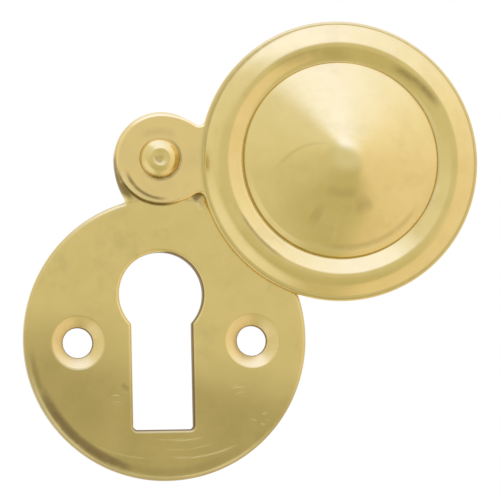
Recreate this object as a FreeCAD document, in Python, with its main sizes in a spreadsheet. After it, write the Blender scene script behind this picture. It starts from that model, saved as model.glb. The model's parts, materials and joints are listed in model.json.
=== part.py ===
import FreeCAD, Part
import math
import os

import Sketcher

# Brass keyhole escutcheon with a swing cover, in millimetres.
# It stands as it hangs on a door: +Z up, the front facing -Y, the plate's back in the plane Y = 0,
# and the origin on that back, midway between the two screw holes.

# Driving dimensions
SIZES = {
    # back plate
    "plate_radius": 17.5,
    "plate_thickness": 1.6,
    "plate_edge_radius": 1.1,
    "plate_ear_radius": 5.9,
    "plate_ear_neck_width": 8.74,
    "plate_ear_corner_radius": 0.45,
    # rivet's place, over the top of the disc and beside its middle
    "pivot_height": 4.7,
    "pivot_offset": 0.42,
    # keyhole
    "keyhole_offset": 0.42,
    "keyhole_round_radius": 5.2,
    "keyhole_round_height": 5.5,
    "keyhole_slot_width": 7.5,
    "keyhole_slot_depth": 11.2,
    "keyhole_corner_radius": 0.5,
    "keyhole_edge_width": 0.3,
    # screw holes
    "screw_spacing": 21.6,
    "screw_line_depth": 0.38,
    "screw_bore_radius": 1.85,
    "screw_bore_length": 0.12,
    "screw_throat_width": 0.2,
    "screw_throat_length": 0.25,
    "countersink_width": 1.3,
    # swing cover
    "cover_thickness": 0.8,
    "cover_radius": 17.5,
    "cover_edge_width": 0.25,
    "cover_ear_radius": 5.6,
    "cover_ear_neck_width": 7.3,
    "cover_ear_corner_radius": 0.8,
    "cover_ear_offset": 0.54,
    "cover_hang": 0.35,
    "cover_open_angle": 89.0,
    # raised ring, counted inwards from the cover's rim and up from the rim's front
    "rim_width": 0.6,
    "ring_haunch_width": 0.95,
    "ring_haunch_height": 1.05,
    "ring_outer_width": 2.6,
    "ring_height": 1.5,
    "ring_throat_width": 1.1,
    "ring_throat_height": 0.7,
    "ring_inner_width": 2.2,
    # groove, steep wall and dome inside the ring
    "groove_height": 0.42,
    "wall_width": 0.3,
    "wall_height": 0.6,
    "shoulder_width": 0.5,
    "shoulder_height": 0.45,
    "dome_height": 4.4,
    "dome_tip_radius": 8.0,
    # rivet
    "rivet_shank_radius": 1.5,
    "rivet_tail_width": 0.7,
    "rivet_tail_depth": 0.7,
    "rivet_head_radius": 2.5,
    "rivet_head_edge_height": 0.2,
    "rivet_head_crown_radius": 4.0,
    "rivet_dimple_radius": 0.85,
    "rivet_dimple_depth": 0.22,
    "rivet_dimple_lip_radius": 0.2,
    "rivet_running_gap": 0.05,
    "rivet_end_gap": 0.05,
}

doc = FreeCAD.newDocument("KeyholeEscutcheon")
sheet = doc.addObject("Spreadsheet::Sheet", "Sizes")
for row, (word, number) in enumerate(SIZES.items(), start=1):
    sheet.set(f"A{row}", word.replace("_", " "))
    sheet.set(f"B{row}", str(number))
    sheet.setAlias(f"B{row}", word)
doc.recompute()


def value(expression):
    """The number that an expression over the sheet's sizes comes to now."""
    return float(sheet.evalExpression(expression.replace("Sizes.", "")))


def point(across, along):
    """A sketch point from two expressions."""
    return FreeCAD.Vector(value(across), value(along), 0)


# From the middle of the disc up to the rivet, and from the middle of the cover.
# The cover hangs a little lower than the disc when it is shut.
ARM = "(Sizes.plate_radius + Sizes.pivot_height)"
COVER_ARM = "(Sizes.plate_radius + Sizes.pivot_height + Sizes.cover_hang)"

# Sketches and features

START, END, CENTRE = range(1, 4)
ORIGIN = (-1, START)


def new_sketch(body, name, role, lift=None):
    """A sketch on one of the body's own origin planes, lifted off it along its normal."""
    sketch = body.newObject("Sketcher::SketchObject", name)
    plane = next(feature for feature in body.Origin.OriginFeatures if feature.Role == role)
    sketch.AttachmentSupport = (plane, [""])
    sketch.MapMode = "FlatFace"
    if lift:
        sketch.setExpression(".AttachmentOffset.Base.z", lift)
    return sketch


def drive(sketch, kind, *where, by):
    """Adds a dimension and binds it to an expression over the sheet."""
    index = sketch.addConstraint(Sketcher.Constraint(kind, *where, value(by)))
    sketch.setExpression(f"Constraints[{index}]", by)


def place(sketch, element, end, across, along):
    """Holds a sketch point at two distances from the sketch's origin."""
    for kind, distance in (("DistanceX", across), ("DistanceY", along)):
        drive(sketch, kind, *ORIGIN, element, end, by=distance)


def add_feature(body, kind, name, **settings):
    """Adds a feature to the body, sets its plain properties and binds those given as text in by."""
    feature = body.newObject(f"PartDesign::{kind}", name)
    bound = settings.pop("by", {})
    for key, setting in settings.items():
        setattr(feature, key, setting)
    for key, expression in bound.items():
        setattr(feature, key, value(expression))
        feature.setExpression(key, expression)
    doc.recompute()
    return feature


def finish_edges(body, kind, name, size, chosen):
    """Rounds or bevels the edges of the body's last feature for which chosen(edge) is true."""
    base = body.Tip
    names = [f"Edge{i}" for i, edge in enumerate(base.Shape.Edges, start=1) if chosen(edge)]
    if not names:
        raise ValueError(f"{name} finds no edge to work on")
    key = {"Fillet": "Radius", "Chamfer": "Size"}[kind]
    return add_feature(body, kind, name, Base=(base, names), by={key: size})


def lies_at(edge, depth):
    """True for an edge that lies wholly at one depth behind or in front of the body's origin."""
    box = edge.BoundBox
    return abs(box.YMin - depth) < 1e-4 and abs(box.YMax - depth) < 1e-4


def runs_through(edge, reach):
    """True for a straight edge along Y that is at least as long as reach."""
    box = edge.BoundBox
    return box.YLength > reach - 1e-4 and max(box.XLength, box.ZLength) < 1e-4


def arc(centre, radius, first, last):
    """An arc from two angles in degrees, counter-clockwise."""
    circle = Part.Circle(centre, FreeCAD.Vector(0, 0, 1), radius)
    return Part.ArcOfCircle(circle, math.radians(first), math.radians(last))


def draw_eared_disc(sketch, disc_radius, ear_radius, neck_width, ear_height):
    """A disc with a rounded ear on top. Its four arcs run from the disc up one flank and down the other.
    Each flank leaves the disc at the neck's width and runs smoothly into the ear at its widest."""
    disc = value(disc_radius)
    ear = value(ear_radius)
    neck = value(neck_width) / 2
    height = value(ear_height)
    neck_height = math.sqrt(disc**2 - neck**2)
    rise = height - neck_height
    inset = (neck**2 + rise**2 - ear**2) / (2 * (ear - neck))
    flank = ear + inset
    low = math.degrees(math.atan2(-rise, neck + inset))
    corner = math.degrees(math.atan2(neck_height, neck))
    top = FreeCAD.Vector(0, height, 0)
    across = FreeCAD.Vector(inset, 0, 0)
    disc_arc, right_arc, top_arc, left_arc = sketch.addGeometry(
        [
            arc(FreeCAD.Vector(), disc, 180 - corner, 360 + corner),
            arc(top - across, flank, low, 0),
            arc(top, ear, 0, 180),
            arc(top + across, flank, 180, 180 - low),
        ]
    )
    sketch.addConstraint(
        [
            Sketcher.Constraint("Coincident", disc_arc, CENTRE, *ORIGIN),
            Sketcher.Constraint("Coincident", disc_arc, END, right_arc, START),
            Sketcher.Constraint("Tangent", right_arc, END, top_arc, START),
            Sketcher.Constraint("Tangent", top_arc, END, left_arc, START),
            Sketcher.Constraint("Coincident", left_arc, END, disc_arc, START),
            Sketcher.Constraint("Vertical", top_arc, CENTRE, *ORIGIN),
            Sketcher.Constraint("Horizontal", right_arc, CENTRE, top_arc, CENTRE),
            Sketcher.Constraint("Horizontal", left_arc, CENTRE, top_arc, CENTRE),
        ]
    )
    drive(sketch, "Radius", disc_arc, by=disc_radius)
    drive(sketch, "Radius", top_arc, by=ear_radius)
    drive(sketch, "DistanceY", *ORIGIN, top_arc, CENTRE, by=ear_height)
    drive(sketch, "DistanceX", *ORIGIN, right_arc, START, by=f"{neck_width} / 2")
    drive(sketch, "DistanceX", left_arc, END, *ORIGIN, by=f"{neck_width} / 2")


def draw_lines(sketch, corners):
    """Straight lines from corner to corner, each corner held by two expressions."""
    spots = [point(*corner) for corner in corners]
    lines = sketch.addGeometry([Part.LineSegment(a, b) for a, b in zip(spots, spots[1:])])
    for line, after in zip(lines, lines[1:]):
        sketch.addConstraint(Sketcher.Constraint("Coincident", line, END, after, START))
    for line, corner in zip(lines, corners):
        place(sketch, line, START, *corner)
    return lines


def draw_turned_outline(sketch, corners, axis_across):
    """A closed outline beside an upright construction line at axis_across, to be turned about that line.
    Each corner is a radius from the line and a height up the sketch."""
    corners = [(f"{axis_across} + {radius}", height) for radius, height in corners]
    lines = draw_lines(sketch, corners + corners[:1])
    sketch.addConstraint(Sketcher.Constraint("Coincident", lines[-1], END, lines[0], START))
    low, high = corners[-1], corners[0]
    axis = sketch.addGeometry(Part.LineSegment(point(*low), point(*high)), True)
    place(sketch, axis, START, *low)
    place(sketch, axis, END, *high)


# Back plate: stamped from flat sheet, its front edge rolled over. Its own origin is the disc's middle.


def make_back_plate():
    body = doc.addObject("PartDesign::Body", "BackPlate")
    body.Label = "back_plate"
    thickness = "Sizes.plate_thickness"
    front = -value(thickness)

    outline = new_sketch(body, "PlateOutline", "XZ_Plane")
    draw_eared_disc(
        outline,
        "Sizes.plate_radius",
        "Sizes.plate_ear_radius",
        "Sizes.plate_ear_neck_width",
        ARM,
    )
    doc.recompute()
    add_feature(body, "Pad", "PlateBlank", Profile=outline, by={"Length": thickness})
    finish_edges(
        body,
        "Fillet",
        "EarCorners",
        "Sizes.plate_ear_corner_radius",
        lambda edge: runs_through(edge, value(thickness)) and edge.CenterOfMass.z > 0,
    )
    # the rolled front edge: a bevel that touches a round of this radius, and a flatter one before it
    roll = "Sizes.plate_edge_radius"
    for name, width in (("RolledEdge", "2 - sqrt(2)"), ("RolledEdgeEased", "tan(22.5) - tan(11.25)")):
        finish_edges(body, "Chamfer", name, f"{roll} * ({width})", lambda edge: lies_at(edge, front))

    cut_keyhole(body)
    cut_screw_holes(body)
    cut_rivet_seat(body)
    set_base(body, "0", "0", "Sizes.screw_line_depth")
    doc.recompute()
    return body


def cut_keyhole(body):
    """A round hole with a straight slot below it, its front edge eased."""
    sketch = new_sketch(body, "KeyholeOutline", "XZ_Plane")
    middle = "-Sizes.keyhole_offset"
    half = "Sizes.keyhole_slot_width / 2"
    round_height = "Sizes.keyhole_round_height"
    radius = value("Sizes.keyhole_round_radius")
    turn = math.degrees(math.acos(value(half) / radius))
    centre = point(middle, round_height)
    drop = radius * math.sin(math.radians(turn))
    right = centre + FreeCAD.Vector(value(half), -drop, 0)
    left = centre + FreeCAD.Vector(-value(half), -drop, 0)
    foot_right = point(f"{middle} + {half}", "-Sizes.keyhole_slot_depth")
    foot_left = point(f"{middle} - {half}", "-Sizes.keyhole_slot_depth")
    top, left_side, foot, right_side = sketch.addGeometry(
        [
            arc(centre, radius, -turn, 180 + turn),
            Part.LineSegment(left, foot_left),
            Part.LineSegment(foot_left, foot_right),
            Part.LineSegment(foot_right, right),
        ]
    )
    sketch.addConstraint(
        [
            Sketcher.Constraint("Coincident", top, END, left_side, START),
            Sketcher.Constraint("Coincident", left_side, END, foot, START),
            Sketcher.Constraint("Coincident", foot, END, right_side, START),
            Sketcher.Constraint("Coincident", right_side, END, top, START),
            Sketcher.Constraint("Vertical", left_side),
            Sketcher.Constraint("Vertical", right_side),
        ]
    )
    place(sketch, top, CENTRE, middle, round_height)
    drive(sketch, "Radius", top, by="Sizes.keyhole_round_radius")
    place(sketch, foot, START, f"{middle} - {half}", "-Sizes.keyhole_slot_depth")
    place(sketch, foot, END, f"{middle} + {half}", "-Sizes.keyhole_slot_depth")
    doc.recompute()

    before = body.Shape.Volume
    add_feature(
        body,
        "Pocket",
        "Keyhole",
        Profile=sketch,
        Midplane=True,
        by={"Length": "4 * Sizes.plate_thickness"},
    )
    check_cut(body, before)

    def beside_slot(edge):
        centre = edge.CenterOfMass
        return runs_through(edge, value("Sizes.plate_thickness")) and math.isclose(
            abs(centre.x - value(middle)), value(half), abs_tol=1e-3
        )

    finish_edges(body, "Fillet", "KeyholeCorners", "Sizes.keyhole_corner_radius", beside_slot)

    def rims_keyhole(edge):
        box = edge.BoundBox
        return lies_at(edge, -value("Sizes.plate_thickness")) and (
            box.ZMax < value(f"{round_height} + Sizes.keyhole_round_radius") + 0.1
            and box.ZMin > -value("Sizes.keyhole_slot_depth") - 0.1
            and box.XMax < value(f"{middle} + Sizes.keyhole_round_radius") + 0.1
            and box.XMin > value(f"{middle} - Sizes.keyhole_round_radius") - 0.1
        )

    finish_edges(body, "Chamfer", "KeyholeRim", "Sizes.keyhole_edge_width", rims_keyhole)


def cut_screw_holes(body):
    """Two countersunk holes, turned about their own axes: a right-angled cone, a tighter throat that
    the drill leaves, and a short straight land at the back."""
    sketch = new_sketch(body, "ScrewHoleOutline", "XY_Plane", lift="-Sizes.screw_line_depth")
    cone_end = "-(Sizes.screw_bore_length + Sizes.screw_throat_length)"
    front = "-Sizes.plate_thickness"
    spare = "Sizes.plate_thickness"
    throat = "Sizes.screw_bore_radius + Sizes.screw_throat_width"
    mouth = f"{throat} + Sizes.countersink_width"
    draw_turned_outline(
        sketch,
        [
            ("0", spare),
            ("Sizes.screw_bore_radius", spare),
            ("Sizes.screw_bore_radius", "-Sizes.screw_bore_length"),
            (throat, cone_end),
            (mouth, front),
            (mouth, f"{front} - {spare}"),
            ("0", f"{front} - {spare}"),
        ],
        "-Sizes.screw_spacing / 2",
    )
    doc.recompute()
    before = body.Shape.Volume
    hole = add_feature(
        body, "Groove", "LeftScrewHole", Profile=sketch, ReferenceAxis=(sketch, ["Axis0"]), Angle=360
    )
    check_cut(body, before)
    before = body.Shape.Volume
    plane = next(f for f in body.Origin.OriginFeatures if f.Role == "YZ_Plane")
    both = add_feature(body, "Mirrored", "BothScrewHoles", Originals=[hole], MirrorPlane=(plane, [""]))
    body.Tip = both
    doc.recompute()
    check_cut(body, before)


def cut_rivet_seat(body):
    """The ear's hole, sunk at the back for the rivet's tail. The rivet fills it."""
    sketch = new_sketch(body, "RivetSeatOutline", "XY_Plane", lift=ARM)
    spare = "Sizes.plate_thickness"
    tail = "Sizes.rivet_shank_radius + Sizes.rivet_tail_width"
    draw_turned_outline(
        sketch,
        [
            ("0", spare),
            (tail, spare),
            (tail, "0"),
            ("Sizes.rivet_shank_radius", "-Sizes.rivet_tail_depth"),
            ("Sizes.rivet_shank_radius", f"-2 * {spare}"),
            ("0", f"-2 * {spare}"),
        ],
        "-Sizes.pivot_offset",
    )
    doc.recompute()
    before = body.Shape.Volume
    add_feature(
        body, "Groove", "RivetSeat", Profile=sketch, ReferenceAxis=(sketch, ["Axis0"]), Angle=360
    )
    check_cut(body, before)


def check_cut(body, before):
    """A cut that points away from the solid takes nothing off it."""
    if not body.Shape.Volume < before - 0.1:
        raise ValueError(f"{body.Tip.Name} takes nothing off {body.Label}")


# Swing cover: pressed from thinner sheet, in a frame of its own.
# Its origin is the middle of the round cover on the back, and its ear points up, as when it is shut.


def draw_pressed_face(sketch):
    """Half the section of the raised ring and the dome, closed along the back and the axis.
    Across is the radius, and the height in front of the back is counted down the sketch."""
    rim = "Sizes.cover_radius - Sizes.rim_width"
    crest = f"{rim} - Sizes.ring_outer_width"
    foot = f"{crest} - Sizes.ring_inner_width"
    wall_top = f"{foot} - Sizes.wall_width"
    shoulder = f"{wall_top} - Sizes.shoulder_width"
    floor_height = "Sizes.cover_thickness + Sizes.groove_height"
    wall_height = f"{floor_height} + Sizes.wall_height"
    shoulder_height = f"{wall_height} + Sizes.shoulder_height"
    apex_height = f"{shoulder_height} + Sizes.dome_height"
    corners = [
        ("0", "0"),
        (rim, "0"),
        (rim, "-Sizes.cover_thickness"),
        (f"{rim} - Sizes.ring_haunch_width", "-(Sizes.cover_thickness + Sizes.ring_haunch_height)"),
        (crest, "-(Sizes.cover_thickness + Sizes.ring_height)"),
        (f"{crest} - Sizes.ring_throat_width", "-(Sizes.cover_thickness + Sizes.ring_throat_height)"),
        (foot, f"-({floor_height})"),
        (wall_top, f"-({wall_height})"),
        (shoulder, f"-({shoulder_height})"),
    ]
    lines = draw_lines(sketch, corners)

    tip_radius = value("Sizes.dome_tip_radius")
    apex = point("0", f"-({apex_height})")
    tip_centre = apex + FreeCAD.Vector(0, tip_radius, 0)
    outside = point(*corners[-1])
    tip = arc(tip_centre, tip_radius, -90, touching_angle(outside, tip_centre, tip_radius))
    flank, cap, spine = sketch.addGeometry(
        [
            Part.LineSegment(outside, tip.EndPoint),
            tip,
            Part.LineSegment(apex, FreeCAD.Vector()),
        ]
    )
    sketch.addConstraint(
        [
            Sketcher.Constraint("Coincident", lines[-1], END, flank, START),
            Sketcher.Constraint("Tangent", flank, END, cap, END),
            Sketcher.Constraint("Coincident", cap, START, spine, START),
            Sketcher.Constraint("Coincident", spine, END, lines[0], START),
            Sketcher.Constraint("Vertical", cap, CENTRE, *ORIGIN),
        ]
    )
    place(sketch, flank, START, *corners[-1])
    place(sketch, spine, START, "0", f"-({apex_height})")
    drive(sketch, "Radius", cap, by="Sizes.dome_tip_radius")


def touching_angle(outside, centre, radius):
    """The angle on a circle at which a straight line from an outside point below it runs smoothly in."""
    away = outside - centre
    return math.degrees(math.atan2(away.y, away.x) - math.acos(radius / away.Length))


def make_swing_cover():
    body = doc.addObject("PartDesign::Body", "SwingCover")
    body.Label = "swing_cover"
    thickness = "Sizes.cover_thickness"
    front = -value(thickness)

    section = new_sketch(body, "PressedSection", "XY_Plane")
    draw_pressed_face(section)
    doc.recompute()
    pressing = add_feature(
        body, "Revolution", "Pressing", Profile=section, ReferenceAxis=(section, ["V_Axis"]), Angle=360
    )
    back_name = next(
        f"Face{i}"
        for i, face in enumerate(pressing.Shape.Faces, start=1)
        if isinstance(face.Surface, Part.Plane) and abs(face.CenterOfMass.y) < 1e-6
    )
    solid_volume = pressing.Shape.Volume
    add_feature(
        body,
        "Thickness",
        "SheetWall",
        Base=(pressing, [back_name]),
        Join="Intersection",
        Reversed=True,
        by={"Value": thickness},
    )
    check_cut(body, solid_volume)

    # the flat rim and the ear, one sheet thick, growing out of the ring's wall
    rim = new_sketch(body, "RimOutline", "XZ_Plane")
    draw_eared_disc(
        rim,
        "Sizes.cover_radius",
        "Sizes.cover_ear_radius",
        "Sizes.cover_ear_neck_width",
        f"{COVER_ARM} - Sizes.cover_ear_offset",
    )
    inside = "Sizes.cover_radius - Sizes.rim_width - Sizes.cover_thickness / 2"
    hole = rim.addGeometry(Part.Circle(FreeCAD.Vector(), FreeCAD.Vector(0, 0, 1), value(inside)))
    rim.addConstraint(Sketcher.Constraint("Coincident", hole, CENTRE, *ORIGIN))
    drive(rim, "Radius", hole, by=inside)
    doc.recompute()
    add_feature(body, "Pad", "RimAndEar", Profile=rim, by={"Length": thickness})
    finish_edges(
        body,
        "Fillet",
        "CoverEarCorners",
        "Sizes.cover_ear_corner_radius",
        lambda edge: runs_through(edge, value(thickness)) and edge.CenterOfMass.z > 0,
    )

    ring_line = value("Sizes.cover_radius - Sizes.rim_width")

    def rims_cover(edge):
        """The front edge round the rim and the ear, but not the line where the ring rises."""
        return lies_at(edge, front) and not math.isclose(edge.BoundBox.XMax, ring_line, abs_tol=1e-3)

    finish_edges(body, "Chamfer", "CoverEdge", "Sizes.cover_edge_width", rims_cover)

    bore = new_sketch(body, "BoreOutline", "XZ_Plane")
    ring = bore.addGeometry(
        Part.Circle(
            point("0", COVER_ARM),
            FreeCAD.Vector(0, 0, 1),
            value("Sizes.rivet_shank_radius + Sizes.rivet_running_gap"),
        )
    )
    bore.addConstraint(Sketcher.Constraint("Vertical", ring, CENTRE, *ORIGIN))
    drive(bore, "DistanceY", *ORIGIN, ring, CENTRE, by=COVER_ARM)
    drive(bore, "Radius", ring, by="Sizes.rivet_shank_radius + Sizes.rivet_running_gap")
    doc.recompute()
    before = body.Shape.Volume
    add_feature(body, "Pocket", "RivetBore", Profile=bore, Midplane=True, by={"Length": f"4 * {thickness}"})
    check_cut(body, before)

    # hung on the rivet and swung open, counter-clockwise as seen from the front
    turn = FreeCAD.Rotation(FreeCAD.Vector(0, -1, 0), value("Sizes.cover_open_angle"))
    body.Placement = FreeCAD.Placement(FreeCAD.Vector(), turn)
    set_base(
        body,
        f"{COVER_ARM} * sin(Sizes.cover_open_angle) - Sizes.pivot_offset",
        "-Sizes.plate_thickness",
        f"{ARM} - {COVER_ARM} * cos(Sizes.cover_open_angle) + Sizes.screw_line_depth",
    )
    body.setExpression("Placement.Rotation.Angle", "Sizes.cover_open_angle")
    doc.recompute()
    return body


def set_base(body, x, y, z):
    """Binds where a body stands."""
    for axis, expression in (("x", x), ("y", y), ("z", z)):
        body.setExpression(f"Placement.Base.{axis}", expression)


# Rivet: turned head with a dimple, plain shank, tail hammered flush into the plate's back


def make_pivot_rivet():
    body = doc.addObject("PartDesign::Body", "PivotRivet")
    body.Label = "pivot_rivet"
    section = new_sketch(body, "RivetSection", "XY_Plane")
    under_head = "-(Sizes.plate_thickness + Sizes.cover_thickness + Sizes.rivet_end_gap)"
    rim_top = f"{under_head} - Sizes.rivet_head_edge_height"
    crown = "Sizes.rivet_head_crown_radius"
    dimple_depth = "Sizes.rivet_dimple_depth"
    dimple = f"(Sizes.rivet_dimple_radius ^ 2 + {dimple_depth} ^ 2) / (2 * {dimple_depth})"
    corners = [
        ("0", "0"),
        ("Sizes.rivet_shank_radius + Sizes.rivet_tail_width", "0"),
        ("Sizes.rivet_shank_radius", "-Sizes.rivet_tail_depth"),
        ("Sizes.rivet_shank_radius", under_head),
        ("Sizes.rivet_head_radius", under_head),
        ("Sizes.rivet_head_radius", rim_top),
    ]
    lines = draw_lines(section, corners)

    crown_radius = value(crown)
    head_radius = value("Sizes.rivet_head_radius")
    lip = value("Sizes.rivet_dimple_radius")
    rim = point(*corners[-1])
    crown_centre = rim + FreeCAD.Vector(
        -head_radius, math.sqrt(crown_radius**2 - head_radius**2), 0
    )
    crown_drop = math.sqrt(crown_radius**2 - lip**2)
    rim_angle = math.degrees(-math.acos(head_radius / crown_radius))
    lip_angle = math.degrees(-math.acos(lip / crown_radius))
    dimple_radius = value(dimple)
    dimple_centre = crown_centre + FreeCAD.Vector(
        0, value(dimple_depth) - crown_drop - dimple_radius, 0
    )
    bottom = dimple_centre + FreeCAD.Vector(0, dimple_radius, 0)
    head, hollow, spine = section.addGeometry(
        [
            arc(crown_centre, crown_radius, lip_angle, rim_angle),
            arc(dimple_centre, dimple_radius, math.degrees(math.acos(lip / dimple_radius)), 90),
            Part.LineSegment(bottom, FreeCAD.Vector()),
        ]
    )
    section.addConstraint(
        [
            Sketcher.Constraint("Coincident", lines[-1], END, head, END),
            Sketcher.Constraint("Coincident", head, START, hollow, START),
            Sketcher.Constraint("Coincident", hollow, END, spine, START),
            Sketcher.Constraint("Coincident", spine, END, lines[0], START),
            Sketcher.Constraint("Vertical", head, CENTRE, *ORIGIN),
            Sketcher.Constraint("Vertical", hollow, CENTRE, *ORIGIN),
            Sketcher.Constraint("Vertical", hollow, END, *ORIGIN),
        ]
    )
    place(section, lines[-1], END, *corners[-1])
    drive(section, "Radius", head, by=crown)
    drive(section, "Radius", hollow, by=dimple)
    drive(section, "DistanceX", *ORIGIN, hollow, START, by="Sizes.rivet_dimple_radius")
    doc.recompute()
    add_feature(
        body, "Revolution", "RivetTurning", Profile=section, ReferenceAxis=(section, ["V_Axis"]), Angle=360
    )
    lip_height = crown_centre.y - crown_drop
    finish_edges(
        body,
        "Fillet",
        "DimpleLip",
        "Sizes.rivet_dimple_lip_radius",
        lambda edge: lies_at(edge, lip_height),
    )
    set_base(body, "-Sizes.pivot_offset", "0", f"{ARM} + Sizes.screw_line_depth")
    doc.recompute()
    return body


bodies = [make_back_plate(), make_swing_cover(), make_pivot_rivet()]

# Check the document and write one file for each piece

for item in doc.Objects:
    if "Invalid" in item.State or "Error" in item.State:
        raise ValueError(f"{item.Name} failed: {item.State}")
os.makedirs("parts", exist_ok=True)
for body in bodies:
    shape = body.Shape
    if shape.isNull() or not shape.isValid() or len(shape.Solids) != 1:
        raise ValueError(f"{body.Label} is not one sound solid")
    shape.exportStep(f"parts/{body.Label}.step")
    box = shape.BoundBox
    print(f"{body.Label}: {shape.Volume:.1f} cubic mm, {box.XLength:.2f} x {box.YLength:.2f} x {box.ZLength:.2f} mm")
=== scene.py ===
# %% [markdown]
# # A brass keyhole escutcheon with a swing cover
#
# A round plate is screwed over a keyhole, and a pressed, domed cover hangs in front of it on one rivet.
# Here the cover stands swung open to the right. All three pieces are bare polished brass, so there is
# hardly any colour to paint: the look comes from clean curves, small rounded edges and what the metal
# reflects. The CAD solids have the right shapes but coarse facets, and facets show at once in polished
# metal, so each piece is drawn again here on the CAD's own sizes, with many more points.

import json
import math

import bmesh
import bpy
from mathutils import Matrix, Vector


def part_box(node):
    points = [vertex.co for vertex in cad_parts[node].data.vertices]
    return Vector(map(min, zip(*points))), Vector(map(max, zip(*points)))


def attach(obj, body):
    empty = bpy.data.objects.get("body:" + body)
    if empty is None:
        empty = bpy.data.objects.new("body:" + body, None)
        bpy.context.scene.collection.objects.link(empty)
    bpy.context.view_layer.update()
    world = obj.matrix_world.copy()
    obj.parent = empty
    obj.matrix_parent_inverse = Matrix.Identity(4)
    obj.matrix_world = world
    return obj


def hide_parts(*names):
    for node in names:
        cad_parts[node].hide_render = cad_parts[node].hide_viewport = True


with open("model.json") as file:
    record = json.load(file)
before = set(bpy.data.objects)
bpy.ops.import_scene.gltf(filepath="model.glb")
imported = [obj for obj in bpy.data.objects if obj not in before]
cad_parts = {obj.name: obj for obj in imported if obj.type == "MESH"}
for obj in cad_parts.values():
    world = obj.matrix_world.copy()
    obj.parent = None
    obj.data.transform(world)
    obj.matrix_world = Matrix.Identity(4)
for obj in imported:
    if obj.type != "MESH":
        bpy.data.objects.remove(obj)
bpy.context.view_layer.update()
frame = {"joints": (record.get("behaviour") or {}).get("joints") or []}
MM = 0.001

# %% [markdown]
# ## Sizes
#
# The frame already knows the plate's width, thickness and place, and where the hinge is. What it can't
# tell, such as the radius of an ear or the slope of the dome, is repeated from the model, in millimetres.
# Every piece is thought of as seen from the front: x to the right, z up, and y going in, so the front of
# the plate lies at minus its thickness.

# %% Sizes from the frame and the hinge
plate_low, plate_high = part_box("back_plate")
plate_radius = (plate_high.x - plate_low.x) / 2
plate_thickness = plate_high.y - plate_low.y
plate_centre = Vector((0, 0, plate_low.z + plate_radius))
pivot = Vector(frame["joints"][0]["pos_m"])
pivot_line = Vector((pivot.x, 0, pivot.z))
arm = pivot.z - plate_centre.z
print("plate radius", round(plate_radius / MM, 2), "thickness", round(plate_thickness / MM, 2))
print("from the middle of the plate up to the rivet", round(arm / MM, 2), "mm")

# %% [markdown]
# ## A rim that runs round a path
#
# Every surface here is one short profile carried round a path: the rounded edge round the plate's outline
# and round the keyhole, a countersink round its own axis, the whole dome round the middle of the cover.
# Bevels and booleans could make them too, but they leave uneven facets, which show in a mirror. So one
# Geometry Nodes tree makes them all. It takes a path, whose points know which way leads away from the
# metal, and a profile, whose points say how far away and how deep. It lays a grid with one row for each
# path point and one column for each profile point, and moves every point to its place.

# %% The Geometry Nodes tree for a profile round a path
def node(tree, kind, inputs=None, **settings):
    """Adds a node, sets its own settings, and fills or links its inputs."""
    made = tree.nodes.new(kind)
    for key, setting in settings.items():
        setattr(made, key, setting)
    for key, given in (inputs or {}).items():
        if isinstance(given, bpy.types.NodeSocket):
            tree.links.new(given, made.inputs[key])
        else:
            made.inputs[key].default_value = given
    return made


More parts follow.
